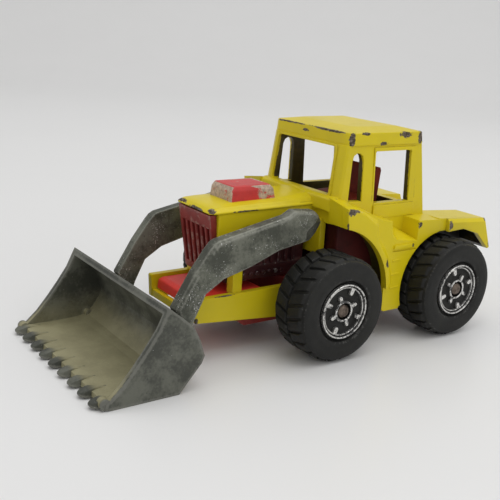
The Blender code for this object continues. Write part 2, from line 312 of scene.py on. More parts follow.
def make_repeater():
    """A node tree that repeats an item in a row, or by equal turns about the X axis."""
    tree = bpy.data.node_groups.new("repeat_item", "GeometryNodeTree")
    for label, kind in (("Item", "Object"), ("Count", "Int"), ("Start", "Vector"), ("Step", "Vector"),
                        ("Turn", "Float"), ("Centre", "Vector"), ("Finish", "Material")):
        tree.interface.new_socket(name=label, in_out="INPUT", socket_type="NodeSocket" + kind)
    tree.interface.new_socket(name="Mesh", in_out="OUTPUT", socket_type="NodeSocketGeometry")
    node = {}
    for label, kind in (("given", "NodeGroupInput"), ("result", "NodeGroupOutput"),
                        ("line", "GeometryNodeMeshLine"), ("item", "GeometryNodeObjectInfo"),
                        ("place", "GeometryNodeInstanceOnPoints"), ("index", "GeometryNodeInputIndex"),
                        ("angle", "ShaderNodeMath"), ("turn", "ShaderNodeCombineXYZ"),
                        ("real", "GeometryNodeRealizeInstances"), ("shift", "GeometryNodeTransform"),
                        ("finish", "GeometryNodeSetMaterial")):
        node[label] = tree.nodes.new(kind)
    node["angle"].operation = "MULTIPLY"
    for source, output, target, entry in (
            ("given", "Count", "line", "Count"), ("given", "Start", "line", "Start Location"),
            ("given", "Step", "line", "Offset"), ("given", "Item", "item", "Object"),
            ("line", "Mesh", "place", "Points"), ("item", "Geometry", "place", "Instance"),
            ("index", "Index", "angle", 0), ("given", "Turn", "angle", 1), ("angle", "Value", "turn", "X"),
            ("turn", "Vector", "place", "Rotation"), ("place", "Instances", "real", "Geometry"),
            ("real", "Geometry", "shift", "Geometry"), ("given", "Centre", "shift", "Translation"),
            ("shift", "Geometry", "finish", "Geometry"), ("given", "Finish", "finish", "Material"),
            ("finish", "Geometry", "result", "Mesh")):
        tree.links.new(node[source].outputs[output], node[target].inputs[entry])
    return tree


REPEATER = make_repeater()


def repeat(name, item, finish, count, start=(0, 0, 0), step=(0, 0, 0), turn=0.0, centre=(0, 0, 0)):
    """Repeat an item with the node tree and keep the result as a plain mesh."""
    made = link(name, bpy.data.meshes.new(name))
    rule = made.modifiers.new("repeat", "NODES")
    rule.node_group = REPEATER
    values = {"Item": item, "Count": count, "Start": Vector(start) * MM, "Step": Vector(step) * MM,
              "Turn": math.radians(turn), "Centre": Vector(centre) * MM, "Finish": finish}
    for socket in REPEATER.interface.items_tree:
        if socket.in_out == "INPUT":
            rule[socket.identifier] = values[socket.name]
    settle(made)
    bpy.data.objects.remove(item)
    return smooth(made)


# --------------------------------------------------------------------- finishes

class Finish:
    """A Principled material built up from noise in object space."""

    def __init__(self, name, roughness, metallic=0.0, coat=0.0, shine=0.5):
        self.made = bpy.data.materials.new(name)
        self.made.use_nodes = True
        self.tree = self.made.node_tree
        self.shader = self.tree.nodes["Principled BSDF"]
        for socket, value in (("Roughness", roughness), ("Metallic", metallic), ("Specular IOR Level", shine),
                              ("Coat Weight", coat), ("Coat Roughness", 0.18)):
            self.shader.inputs[socket].default_value = value
        self.place = self.tree.nodes.new("ShaderNodeTexCoord").outputs["Object"]

    def feed(self, socket, value):
        if isinstance(value, bpy.types.NodeSocket):
            self.tree.links.new(value, socket)
        elif isinstance(value, tuple) and socket.type == "RGBA":
            socket.default_value = (*value, 1.0)
        else:
            socket.default_value = value

    def node(self, kind, output, inputs, **settings):
        """Add a node, set it up, feed its inputs and give one output."""
        made = self.tree.nodes.new("ShaderNode" + kind)
        for name, value in settings.items():
            setattr(made, name, value)
        for socket, value in inputs.items():
            self.feed(made.inputs[socket], value)
        return made.outputs[output]

    def noise(self, size, detail=3.0, rough=0.55, stretch=(1, 1, 1), warp=0.0):
        """Noise whose spots are about size millimetres across."""
        place = self.node("Mapping", "Vector", {"Vector": self.place, "Scale": stretch})
        return self.node("TexNoise", "Fac", {"Vector": place, "Scale": 1.0 / (size * MM), "Detail": detail,
                                             "Roughness": rough, "Distortion": warp})

    def layer(self, name):
        return self.node("Attribute", "Fac", {}, attribute_name=name)

    def sum(self, *terms):
        """Add (value, weight) terms."""
        total = 0.0
        for value, weight in terms:
            total = self.node("Math", "Value", {0: value, 1: weight, 2: total}, operation="MULTIPLY_ADD")
        return total

    def most(self, a, b, operation="MAXIMUM"):
        return self.node("Math", "Value", {0: a, 1: b}, operation=operation)

    def step(self, value, low, high):
        """0 below low, 1 above high, smooth between."""
        return self.node("MapRange", "Result", {"Value": value, "From Min": low, "From Max": high},
                         interpolation_type="SMOOTHSTEP")

    def blend(self, factor, a, b):
        return self.node("Mix", 2, {"Factor": factor, 6: a, 7: b}, data_type="RGBA")

    def range(self, factor, a, b):
        return self.node("MapRange", "Result", {"Value": factor, "To Min": a, "To Max": b})

    def tools(self):
        """The calls that the finishes below are written with."""
        return self.noise, self.layer, self.sum, self.step, self.blend, self.range

    def spots(self, chips):
        """Listed chips: each a centre and its reach along X, Y and Z, with a ragged rim."""
        ragged = self.sum((self.noise(1.1, 5.0, 0.75), 2.0), (self.noise(0.35, 3.0, 0.6), 1.0))
        total = -9.0
        for centre, reach in chips:
            away = self.node("VectorMath", "Vector", {0: self.place, 1: Vector(centre) * MM},
                             operation="SUBTRACT")
            scaled = self.node("VectorMath", "Vector", {0: away, 1: Vector(reach) * MM}, operation="DIVIDE")
            length = self.node("VectorMath", "Value", {0: scaled}, operation="LENGTH")
            total = self.most(total, self.sum((length, -1.0), (ragged, 1.0)))
        return self.step(total, 0.62, 0.72)

    def bump(self, height, depth):
        normal = self.node("Bump", "Normal", {"Strength": 1.0, "Distance": depth * MM, "Height": height})
        self.feed(self.shader.inputs["Normal"], normal)

    def colour(self, value):
        self.feed(self.shader.inputs["Base Color"], value)

    def gloss(self, value):
        self.feed(self.shader.inputs["Roughness"], value)

    def metal(self, value):
        self.feed(self.shader.inputs["Metallic"], value)


# Paint chips on the casting: centre, then reach along X, Y and Z.
CHIPS = (
    ((9.4, 17.8, 32.3), (0.6, 1.5, 0.55)),       # roof side, near the rear
    ((9.5, 21.3, 31.9), (0.9, 0.85, 1.35)),      # roof rear corner
    ((9.3, 6.8, 31.8), (0.5, 0.6, 1.2)),         # roof front corner
    ((4.6, 6.2, 32.7), (5.2, 0.36, 0.30)),       # roof front edge
    ((-5.6, 6.2, 32.7), (5.0, 0.30, 0.24)),
    ((-1.0, 6.1, 31.9), (0.9, 0.4, 0.3)),
    ((9.4, 13.2, 31.0), (0.4, 0.9, 0.3)),        # lower edge of the roof
    ((9.4, 9.5, 32.6), (0.5, 1.0, 0.3)),
    ((13.7, 4.5, 21.9), (0.7, 1.3, 0.65)),       # flare corner
    ((13.7, 3.5, 19.6), (0.4, 0.5, 0.9)),
    ((4.9, -14.4, 21.5), (1.3, 0.8, 0.35)),      # hood front corners and lip
    ((-4.0, -14.6, 21.5), (1.8, 0.6, 0.35)),
    ((1.0, -14.7, 21.2), (2.2, 0.3, 0.3)),
    ((5.2, -9.0, 21.2), (0.3, 2.5, 0.16)),
    ((13.2, 19.6, 18.4), (0.8, 0.45, 0.7)),      # shoulder above the rear wheel
    ((13.5, 18.2, 15.2), (0.5, 0.35, 0.7)),      # step
    ((13.6, 26.2, 17.8), (0.5, 0.45, 0.9)),      # mudguard step
    ((13.5, 12.7, 13.0), (0.5, 0.5, 0.8)),       # front arch
    ((12.9, 17.4, 4.9), (0.8, 0.7, 0.5)),        # foot of the step column
    ((8.0, 4.6, 22.6), (1.6, 0.5, 0.4)),         # foot of the windscreen pillar
    ((RAIL_HALF, -17.7, 9.2), (0.5, 0.7, 0.35)),  # front rails and their lip
    ((RAIL_HALF, -13.0, 9.4), (0.35, 1.8, 0.16)),
    ((RAIL_HALF, -17.8, 6.2), (0.4, 0.5, 0.5)),
    ((3.0, -17.8, 6.9), (1.6, 0.3, 0.2)),
    ((13.6, 36.5, 14.2), (0.3, 0.45, 1.3)),      # rear edge of the mudguard
    ((13.3, 34.9, 18.1), (0.7, 0.4, 0.3)),
    ((13.5, 21.2, 16.9), (0.4, 0.7, 0.35)),      # rear arch
    ((-12.9, 30.5, 18.6), (1.0, 1.6, 0.6)),
    ((-9.4, 12.0, 31.9), (0.6, 1.2, 0.7)),
)


def make_enamel():
    """Yellow enamel over zinc: chipped edges, painted shade in the corners, faint dust.

    The attribute for painted light and scuffs is 1 inside the cab and the arches, where dark olive shade is
    painted, and 2 under the mudguards, where a darker painted shadow goes.
    """
    made = Finish("yellow_enamel", 0.38, coat=0.03, shine=0.26)
    noise, layer, add, step, mix, span = made.tools()
    most = made.most
    cloud, fine, speck = noise(9.0, 3.0), noise(0.8, 5.0, 0.65), noise(0.25, 3.0)
    edge, bare, crease = layer("edge"), layer("bare"), layer("crease")
    paint = mix(step(cloud, 0.35, 0.7), (0.705, 0.565, 0.008), (0.645, 0.52, 0.013))
    dusty = step(add((fine, 0.7), (cloud, 0.3)), 0.5, 0.75)
    paint = mix(span(dusty, 0.0, 0.16), paint, (0.62, 0.51, 0.10))
    # Painted shade: the enamel darkens towards olive brown in concave corners and creases.
    grime = step(add((crease, 0.8), (fine, 0.5)), 0.75, 1.05)
    paint = mix(span(grime, 0.0, 0.42), paint, (0.20, 0.15, 0.012))
    wear = add((edge, 1.0), (noise(2.6, 4.0, 0.7), 0.85), (fine, 0.25))
    rub, rim = step(wear, 1.77, 1.83), step(wear, 1.66, 1.83)
    fleck = step(add((noise(1.4, 5.0, 0.75), 1.0), (edge, 0.1)), 0.80, 0.83)
    # Painted shade: inside the cab and the arches the enamel turns dark olive, and under the mudguards near
    # black as painted shadow.
    shaded = step(add((bare, 1.0), (fine, 0.1)), 0.48, 0.64)
    chipped = most(most(rub, fleck), made.spots(CHIPS))
    chipped = most(chipped, span(shaded, 1.0, 0.12), "MULTIPLY")
    paint = mix(span(rim, 0.0, 0.45), paint, (0.30, 0.22, 0.02))
    zinc = mix(step(add((speck, 0.5), (fine, 0.5)), 0.42, 0.62), (0.075, 0.058, 0.038), (0.25, 0.21, 0.17))
    inside = mix(step(add((cloud, 0.6), (fine, 0.4)), 0.4, 0.65), (0.055, 0.045, 0.012), (0.10, 0.08, 0.015))
    inside = mix(step(bare, 1.2, 1.9), inside, (0.012, 0.010, 0.008))
    paint = mix(shaded, paint, inside)
    made.colour(mix(chipped, paint, zinc))
    made.gloss(span(most(chipped, span(dusty, 0.0, 0.5)), 0.33, 0.62))
    made.metal(span(chipped, 0.0, 0.55))
    made.bump(add((chipped, -1.0), (fine, 0.25)), 0.03)
    return made.made


def make_zinc(name, light=1.0, sheen=0.5, flecks=0.82, worn=0.5, dust=False):
    """Dull unpainted zinc: mottled, scratched, with bright flecks where it has rubbed.

    light scales its tones and sheen is how metallic it is. A lower flecks level gives more flecks; worn is
    how far rubbing spreads in from the edges; dust adds the sand that the "dust" attribute marks.
    """
    made = Finish(name, 0.5, sheen)
    noise, layer, add, step, mix, span = made.tools()
    cloud, fine, speck = noise(5.0, 4.0, 0.6), noise(0.45, 5.0, 0.7), noise(0.22, 2.0, 0.5)
    scratch = noise(0.35, 2.0, 0.5, stretch=(0.3, 0.09, 1.0), warp=0.4)
    patch = noise(3.0, 2.0)

    def tone(*colour):
        return tuple(part * light for part in colour)

    metal = mix(step(add((cloud, 0.7), (fine, 0.3)), 0.41, 0.60), tone(0.072, 0.076, 0.060),
                tone(0.190, 0.196, 0.158))
    rubbed = step(add((layer("edge"), worn), (fine, 0.6), (cloud, 0.3)), 0.72, 1.10)
    metal = mix(span(rubbed, 0.0, 0.6), metal, tone(0.29, 0.29, 0.25))
    bright = step(add((speck, 0.75), (patch, 0.45), (scratch, 0.18)), flecks, flecks + 0.08)
    metal = mix(bright, metal, (0.62, 0.62, 0.60))
    pit = step(add((noise(0.5, 3.0), 0.7), (patch, -0.35)), 0.29, 0.39)
    metal = mix(span(pit, 0.0, 0.6), metal, (0.03, 0.032, 0.03))
    metallic = span(bright, sheen, 0.9)
    if dust:
        lies = step(add((layer("dust"), 1.0), (noise(3.0, 4.0, 0.6), 0.35)), 0.25, 1.10)
        sand = mix(step(add((cloud, 0.75), (fine, 0.25)), 0.35, 0.65), (0.258, 0.238, 0.134),
                   (0.328, 0.303, 0.174))
        metal = mix(span(lies, 0.0, 0.94), metal, sand)
        metallic = add((metallic, span(lies, 1.0, 0.0)))
    made.colour(metal)
    made.metal(metallic)
    made.gloss(span(fine, 0.42, 0.66))
    made.bump(add((fine, 0.6), (scratch, 0.3), (pit, -0.6)), 0.05)
    return made.made


def make_plastic(name, colour, shade, rough, pale=None, shine=0.5, rims=0.55):
    """Moulded plastic; pale is the colour of its scuffs, and rims is how far they keep to the edges."""
    made = Finish(name, rough, shine=shine)
    noise, layer, add, step, mix, span = made.tools()
    cloud, fine = noise(4.0, 3.0), noise(0.35, 4.0, 0.65)
    tone = mix(step(add((cloud, 0.7), (fine, 0.3)), 0.35, 0.68), shade, colour)
    if pale:
        worn = add((layer("edge"), rims), (layer("bare"), 1.0), (noise(1.3, 5.0, 0.7), 0.9))
        chalk = mix(step(noise(0.5, 4.0, 0.7), 0.40, 0.62), tuple(part * 0.62 for part in pale), pale)
        tone = mix(span(step(worn, 0.98, 1.08), 0.0, 0.95), tone, chalk)
    made.colour(tone)
    made.gloss(span(fine, rough - 0.08, rough + 0.14))
    made.bump(fine, 0.02)
    return made.made


def make_tyre_black():
    made = Finish("tyre_black", 0.55, shine=0.22)
    noise, layer, add, step, mix, span = made.tools()
    cloud, fine = noise(3.0, 4.0), noise(0.3, 4.0, 0.7)
    tone = mix(step(cloud, 0.3, 0.75), (0.013, 0.013, 0.012), (0.021, 0.021, 0.019))
    rub = step(add((layer("edge"), 0.4), (fine, 0.9), (noise(1.6, 3.0), 0.5)), 1.10, 1.26)
    made.colour(mix(span(rub, 0.0, 0.5), tone, (0.125, 0.125, 0.118)))
    made.gloss(span(fine, 0.42, 0.66))
    made.bump(fine, 0.02)
    return made.made


def make_foil():
    """Silver foil on black plastic, rubbed through in places."""
    made = Finish("hub_foil", 0.3, 0.9)
    noise, add, step, mix, span = made.noise, made.sum, made.step, made.blend, made.range
    gone = step(add((noise(0.40, 4.0, 0.75), 1.0), (noise(2.5, 2.0), 0.5)), 0.745, 0.85)
    tone = mix(step(noise(0.3, 3.0), 0.35, 0.65), (0.62, 0.61, 0.58), (0.80, 0.79, 0.77))
    made.colour(mix(gone, tone, (0.05, 0.05, 0.05)))
    made.metal(span(gone, 0.85, 0.1))
    made.gloss(span(gone, 0.30, 0.55))
    made.bump(noise(0.2, 3.0), 0.02)
    return made.made


def make_steel():
    made = Finish("axle_steel", 0.4, 0.8)
    cloud = made.noise(0.6, 4.0, 0.7)
    made.colour(made.blend(made.step(cloud, 0.35, 0.65), (0.075, 0.056, 0.044), (0.18, 0.145, 0.118)))
    made.gloss(made.range(cloud, 0.3, 0.6))
    made.bump(cloud, 0.02)
    return made.made


def make_floor_finish():
    """A pale, slightly glossy table."""
    made = Finish("pale_table", 0.34)
    made.colour(made.blend(made.noise(40.0, 2.0), (0.80, 0.80, 0.80), (0.82, 0.82, 0.82)))
    return made.made


ENAMEL = make_enamel()
ZINC = make_zinc("bare_zinc", flecks=0.815, worn=0.65)
BUCKET_ZINC = make_zinc("bucket_zinc", light=0.66, sheen=0.12, flecks=0.90, worn=1.0, dust=True)
# RED and NOSE_RED are one red plastic at two brightnesses: RED is the darker copy, painted shade for the
# grille and the parts under the body.
RED = make_plastic("red_plastic", (0.31, 0.034, 0.027), (0.19, 0.019, 0.016), 0.40, pale=(0.42, 0.19, 0.15),
                   rims=0.12)
NOSE_RED = make_plastic("nose_red", (0.88, 0.056, 0.040), (0.76, 0.044, 0.032), 0.42)
SEAT_RED = make_plastic("seat_red", (0.25, 0.028, 0.018), (0.13, 0.017, 0.012), 0.55, shine=0.25)
COVER_RED = make_plastic("cover_red", (0.60, 0.032, 0.028), (0.48, 0.024, 0.024), 0.38,
                         pale=(0.58, 0.47, 0.36))
DARK_RED = make_plastic("dark_red_plastic", (0.095, 0.012, 0.010), (0.050, 0.008, 0.007), 0.6, shine=0.2)
# The engine's pale grey edge scuffs are wear, and also a painted highlight for light seen through the gaps
# beside the engine.
ENGINE_RED = make_plastic("engine_red", (0.075, 0.016, 0.018), (0.035, 0.009, 0.011), 0.42,
                          pale=(0.42, 0.40, 0.40))
TYRE = make_tyre_black()
FOIL = make_foil()
STEEL = make_steel()


# The record's slot for each finish that isn't named after one.
SLOTS = {"yellow_enamel": "yellow_paint", "bucket_zinc": "bare_zinc", "nose_red": "red_plastic",
         "cover_red": "red_plastic", "seat_red": "dark_red_plastic", "engine_red": "dark_red_plastic"}


def install(piece, finish, *nodes, body="tractor", slot=None):
    """Give a finished piece its material and its body, and hide the CAD nodes that it stands for."""
    piece.data.materials.clear()
    piece.data.materials.append(finish)
    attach(piece, body)
    name = finish.name.split(".")[0]
    slot or SLOTS.get(name, name)
    if nodes:
        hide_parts(*nodes)


def dress(piece, finish, width, *nodes, body="tractor", slot=None, **wear):
    """Round a piece's edges, mark its wear and its painted shade, and install it."""
    weather(piece, width, **wear)
    install(piece, finish, *nodes, body=body, slot=slot)


def paint_shop(piece, width, *nodes, **wear):
    dress(piece, ENAMEL, width, *nodes, **wear)


# ------------------------------------------------------------------ body casting

def make_roof():
    """A slab with clipped front corners, leaning front and rear faces and a low hipped crown."""
    def ring(inset, front, rear):
        half = ROOF_HIGH.x - inset
        back = [(half, rear - inset - 0.3), (half - 0.1, rear - inset - 0.08), (half - 0.3, rear - inset)]
        nose = [(half, front + inset + 0.9), (half - 0.2, front + inset + 0.5),
                (half - 0.7, front + inset + 0.18), (half - 1.3, front + inset)]
        return mirrored(back) + [(-x, y) for x, y in nose] + nose[::-1]

    front, rear = ROOF_LOW.y, ROOF_HIGH.y
    crown = front + 0.2, rear - 0.35
    roof = loft("roof_shell", "Z", [(ROOF_LOW.z, ring(0.1, front - 0.05, rear + 0.05)),
                                    (ROOF_LOW.z + 0.2, ring(0, front, rear)),
                                    (ROOF_HIGH.z - 0.6, ring(0, *crown)), (ROOF_HIGH.z, ring(3.0, *crown))])
    paint_shop(roof, 0.14, "roof")


def make_cab():
    """Four leaning walls with round-cornered windows and a raised door panel on each side."""
    foot_z, head_z = CAB_FOOT - 0.4, ROOF_LOW.z + 0.2
    # Where each wall stands at its foot, and how far its head leans in.
    front_y, front_lean, rear_y, rear_lean = 4.3, 1.4, 23.7, 1.9
    outer_x, side_lean = 9.5, 0.3
    head_front, head_rear, head_x = front_y + front_lean, rear_y - rear_lean, outer_x - side_lean
    foot = [(outer_x, rear_y), (-outer_x, rear_y), (-outer_x, 5.0), (-9.2, 4.65), (-8.3, front_y),
            (8.3, front_y), (9.2, 4.65), (outer_x, 5.0)]
    head = [(head_x, head_rear), (-head_x, head_rear), (-head_x, 6.6), (-8.9, 6.2), (-7.9, head_front),
            (7.9, head_front), (8.9, 6.2), (head_x, 6.6)]
    room_foot = [(8.4, 22.6), (-8.4, 22.6), (-8.4, 5.8), (-8.0, 5.3), (8.0, 5.3), (8.4, 5.8)]
    room_head = [(8.1, 20.7), (-8.1, 20.7), (-8.1, 7.3), (-7.7, 6.8), (7.7, 6.8), (8.1, 7.3)]
    cab = loft("cab_shell", "Z", [(foot_z, foot), (head_z, head)])
    for side, sign in SIDES:
        panel = [(12.0, 19.2), (21.4, 19.2), (20.5, 30.4), (11.6, 30.4)]
        sill = [(12.2, 19.3), (21.2, 19.3), (21.0, 21.35), (12.2, 21.35)]
        fuse(cab, prism("door_" + side, "X", panel, sign * 8.8, sign * 9.42))
        fuse(cab, prism("door_sill_" + side, "X", sill, sign * 8.8, sign * 9.72))
    carve(cab, loft("room", "Z", [(foot_z - 1, room_foot), (head_z + 1, room_head)]))
    lean = front_lean / (head_z - foot_z)

    def screen(grow, radius, front, rear):
        """The windscreen's outline, grown on all sides and sheared to lie along the leaning front."""
        outline = rounded((-7.3 - grow, 23.1 - grow), (7.3 + grow, 30.5 + min(grow, 0.35)), radius)
        outline = [(x * (1.0 - 0.004 * (z - 23.1)), z) for x, z in outline]
        shear = Matrix(((1, 0, 0, 0), (0, 1, lean, -lean * foot_z * MM), (0, 0, 1, 0), (0, 0, 0, 1)))
        return moved(prism("windscreen", "Y", outline, front, rear), shear)

    fuse(cab, screen(0.5, 0.7, front_y - 0.16, front_y + 0.5))
    carve(cab, screen(0.0, 0.5, front_y - 2, front_y + 3))
    carve(cab, prism("rear_window", "Y", rounded((-7.4, 20.4), (7.4, 29.4), 0.5), 17, 28))
    quarter = [(6.95, 22.3), (9.75, 22.2), (9.6, 28.5), (9.35, 29.2), (8.85, 29.6), (8.2, 29.65), (7.6, 29.3),
               (7.3, 28.6)]
    door = [(12.3, 21.7), (19.9, 21.65), (19.85, 22.0), (19.55, 29.6), (19.35, 29.85), (12.0, 29.85),
            (11.85, 29.6)]
    for side, sign in SIDES:
        carve(cab, prism("quarter_window_" + side, "X", quarter, sign * 5, sign * 12))
        carve(cab, prism("door_window_" + side, "X", door, sign * 5, sign * 12))

    def inner(point, normal):
        """Painted shade more than 0.28 mm inside the walls' outer faces, but for the sills."""
        rise = (point.z - 19.3) / 11.1
        side, front, rear = outer_x - side_lean * rise, front_y + front_lean * rise, rear_y - rear_lean * rise
        corner = 0.84 * (point.y - front) - 0.54 * (abs(point.x) - side + 1.25)
        return min(side - abs(point.x), point.y - front, rear - point.y, corner) > 0.28 and normal.z < 0.6

    paint_shop(cab, 0.16, "cab_frame", bare=inner, facet=0.45)


def hood_section(y):
    """Half outline of the hood top at one station: lip, edge, shoulder and crown."""
    rise = ((-14.75, 21.25), (-14.3, 21.7), (-13.6, 21.95), (-11.0, 22.2), (-2.0, 22.35), (1.5, 22.6),
            (4.9, 23.0))
    lip = 20.85 + 0.25 * (y + 14.7) / 19.0
    crown = rise[-1][1]
    for (y0, z0), (y1, z1) in zip(rise, rise[1:]):
        if y <= y1:
            crown = z0 + (z1 - z0) * (y - y0) / (y1 - y0)
            break
    half = 5.2
    if y < -13.4:
        half = 4.1 + 1.1 * math.sqrt(max(0.0, 1 - ((-13.4 - y) / 1.4) ** 2))
    edge = min(lip + 0.62, crown - 0.15)
    return [(half, lip + 0.18), (half + 0.02, lip + 0.34), (half - 0.08, lip + 0.5), (half - 0.35, edge),
            (half * 0.86, edge + (crown - edge) * 0.55), (half * 0.6, crown - 0.06), (half * 0.3, crown)]


def make_hood():
    """Pressed-looking cover with a crowned top, a lip all round and a skirt on each side."""
    stations = (-14.75, -14.55, -14.2, -13.8, -13.4, -12.0, -9.0, -6.0, -2.0, 1.5, 3.5, 5.2)
    hood = loft("hood_shell", "Y", [(y, mirrored(hood_section(y))) for y in stations])
    skirt_side = [(-13.25, 17.2), (4.6, 17.2), (4.6, 21.3), (-13.35, 21.3)]
    mid_slot = [(-9.4, 18.55), (-8.0, 18.95), (-8.0, 18.6), (-9.4, 18.2)]
    rear_slot = [(-0.9, 19.3), (0.5, 20.75), (1.0, 20.75), (1.4, 19.3)]
    for side, sign in SIDES:
        skirt = prism("skirt_" + side, "X", skirt_side, sign * 3.9, sign * 5.04)
        carve(skirt, *(prism("slot", "X", slot, sign * 4.4, sign * 6) for slot in (mid_slot, rear_slot)))
        fuse(hood, skirt)
    carve(hood, rod("pivot_hole", "X", PIVOT.y, PIVOT.z, 1.3, -8, 8))
    paint_shop(hood, 0.13, "hood")


def make_cowl():
    """The wall where the hood meets the cab, with the windscreen sill above it."""
    wall = block("cowl_wall", (-7.0, 4.0, 13.6), (7.0, 5.1, 19.4))
    paint_shop(wall, 0.1, "cowl")
    sill = [(3.55, 20.9), (5.3, 20.9), (5.3, 23.15), (4.55, 23.1), (3.8, 22.8)]
    paint_shop(prism("sill", "X", sill, -9.3, 9.3), 0.18)


def make_side(side, sign):
    """Front flare with its rolled arch, the boarding notch, the step column and the rear shoulder."""
    front_axle, rear_axle = (FRONT_AXLE_Y, WHEEL_RADIUS), (REAR_AXLE_Y, WHEEL_RADIUS)
    under = arc(*front_axle, 11.5, 78, 0, 18) + [(13.0, 5.1), (13.4, 4.8), (16.6, 4.8), (16.9, 5.1)]
    under += arc(*rear_axle, 9.0, 198, 100, 14)
    rear = 24.2
    outer = under + [(rear, 16.9), (rear, 18.9), (17.5, 19.2), (14.0, 19.45), (11.5, 19.9), (8.5, 21.2),
                     (5.5, 22.25), (3.5, 22.4)]
    inner = under + [(rear, 16.9), (rear, 19.1), (17.5, 19.35), (14.0, 19.6), (11.5, 20.1), (8.5, 21.6),
                     (6.2, 22.75), (3.6, 23.1)]
    shell = loft("body_shell_" + side, "X", [(sign * 9.0, inner), (sign * 13.0, outer)])
    arch = arc(*front_axle, 11.5, 78, 4, 18)
    hump = arch + arc(*front_axle, 13.2, 6, 44, 8) + [(10.2, 20.0), (7.5, 21.4), (5.5, 22.2), (3.5, 22.4)]
    crest = arch + arc(*front_axle, 12.4, 6, 44, 8) + [(9.8, 19.2), (7.4, 20.9), (5.5, 22.0), (3.5, 22.3)]
    fuse(shell, loft("hump", "X", [(sign * 12.2, hump), (sign * 12.98, hump),
                                   (sign * (BODY_HALF - 0.1), crest), (sign * BODY_HALF, crest)]))
    notch_deep = [(13.6, 21.5), (13.6, 19.8), (15.0, 18.8), (16.6, 17.7), (19.1, 16.6), (19.1, 21.5)]
    notch_open = [(13.4, 21.5), (13.4, 18.9), (13.9, 17.2), (14.8, 16.4), (19.3, 15.9), (19.3, 21.5)]
    carve(shell, loft("notch", "X", [(sign * 9.6, notch_deep), (sign * 13.0, notch_open),
                                     (sign * 14.5, notch_open)]))
    step = [(14.1, 15.0), (18.4, 15.0), (18.4, 15.6), (14.3, 15.6)]
    seam = [(14.1, 14.5), (19.2, 14.5), (19.2, 14.68), (14.1, 14.68)]
    fuse(shell, prism("step_" + side, "X", step, sign * 12.0, sign * 13.3))
    carve(shell, prism("seam", "X", seam, sign * 12.8, sign * 14))
    front_room = [(4.6, 6.0)] + arc(*front_axle, 12.6, -8, 58, 10) + [(8.0, 20.2), (4.6, 21.3)]
    rear_room = arc(*rear_axle, 10.1, 200, 104, 10) + [(25.5, 16.5), (25.5, 4.0)]
    for room in (front_room, rear_room):
        carve(shell, prism("room", "X", room, sign * 8.0, sign * 12.3))

    def inner(point, normal):
        """Painted shade inside the arches, but for the flare's front face."""
        in_front, in_rear = (math.hypot(point.y - y, point.z - z) < reach
                             for (y, z), reach in ((front_axle, 12.75), (rear_axle, 10.25)))
        facing = normal.y < -0.6 and point.y < 5.4
        return abs(point.x) < 12.4 and (in_front or in_rear) and not facing

    paint_shop(shell, 0.22, "body_side_" + side, bare=inner, grime=0.5)
    rung = block("rung", (-0.35, -0.95, -0.18), (0.22, 0.95, 0.18))
    round_off(rung, 0.1)
    row = repeat("rungs_" + side, rung, ENAMEL, 3, start=(sign * 12.9, 15.1, 13.1), step=(0, 0, -2.25))
    paint_shop(row, 0)


def make_mudguard(side, sign):
    """Flat-topped rear mudguard: a hollow shell with a skirt that leans out to the rear."""
    below = [(36.2, 12.9), (33.2, 15.8), (29.4, 17.0)]
    outline = [(24.0, 16.9), (24.0, 19.05), (34.9, 18.3), (36.9, 13.0)] + below
    guard = prism("mudguard_" + side, "X", outline, sign * GUARD_INNER, sign * 12.9)
    skirt = [(25.8, 16.8), (25.8, 18.35), (34.75, 17.75), (36.6, 13.1)] + below
    lip = [(25.8, 16.8), (25.8, 18.9), (34.9, 18.3), (36.9, 13.0)] + below
    fuse(guard, loft("skirt", "X", [(sign * 12.0, lip), (sign * 13.15, lip), (sign * 13.6, skirt)]))
    hollow = [(23.0, 15.0), (23.0, 17.9), (34.2, 17.4), (35.6, 13.6), (35.9, 12.0), (33.0, 12.0)]
    carve(guard, prism("hollow", "X", hollow, sign * (GUARD_INNER + WALL), sign * 12.6))
    well = [(22.0, 10.3), (32.6, 10.3), (33.4, 11.2), (35.9, 13.2), (35.2, 17.0), (22.0, 17.0)]
    fuse(guard, prism("well_wall", "X", well, sign * (GUARD_INNER + 0.05), sign * (GUARD_INNER + WALL)))

    # The value 2 marks the darker painted shadow under the mudguard.
    def inner(point, normal):
        within = GUARD_INNER + 0.5 < abs(point.x) < 12.7 and point.z < 17.95
        return 2.0 * (within and normal.z < 0.5 and normal.y < 0.3)

    paint_shop(guard, 0.2, "rear_fender_" + side, bare=inner)


def make_tail():
    """Deck between the mudguards and the tail panel that it turns down into."""
    outline = [(23.8, 15.2), (23.8, 16.5), (34.0, 16.5), (34.4, 16.1), (34.9, 6.5), (33.7, 6.5), (33.1, 15.2)]
    half = GUARD_INNER + 0.2
    tail = prism("tail_shell", "X", outline, -half, half)
    panel = rounded((-5.4, 8.2), (5.4, 14.6), 0.7)
    fuse(tail, block("riser", (-half, 23.85, 16.0), (half, 24.7, CAB_FOOT + 0.3)))
    carve(tail, prism("panel", "Y", panel, 34.35, 36.5))
    for x in (3.9, -3.9):
        fuse(tail, rod("lamp", "Y", x, 12.9, 0.85, 33.8, 34.95, 20))
    paint_shop(tail, 0.2, "rear_deck")


def make_rails():
    """Front chassis rails, the lip that joins them and a post up to each hood skirt."""
    rail = [(-17.8, 5.85), (-1.5, 4.5), (-1.5, 9.5), (-17.85, 9.35), (-18.0, 9.2)]
    inner, outer = RAIL_HALF - 1.0, RAIL_HALF
    rails = prism("front_rails", "X", rail, inner, outer)
    fuse(rails, prism("far_rail", "X", rail, -outer, -inner))
    fuse(rails, block("lip", (-inner - 0.5, -17.8, 5.9), (inner + 0.5, -17.0, 7.0)))
    for side, sign in SIDES:
        low, high = sorted((sign * 5.05, sign * 6.6))
        fuse(rails, block("post_" + side, (low, -11.4, 9.2), (high, -9.8, 17.5)))
    paint_shop(rails, 0.16, "front_frame")


# ------------------------------------------------------------------ red mouldings

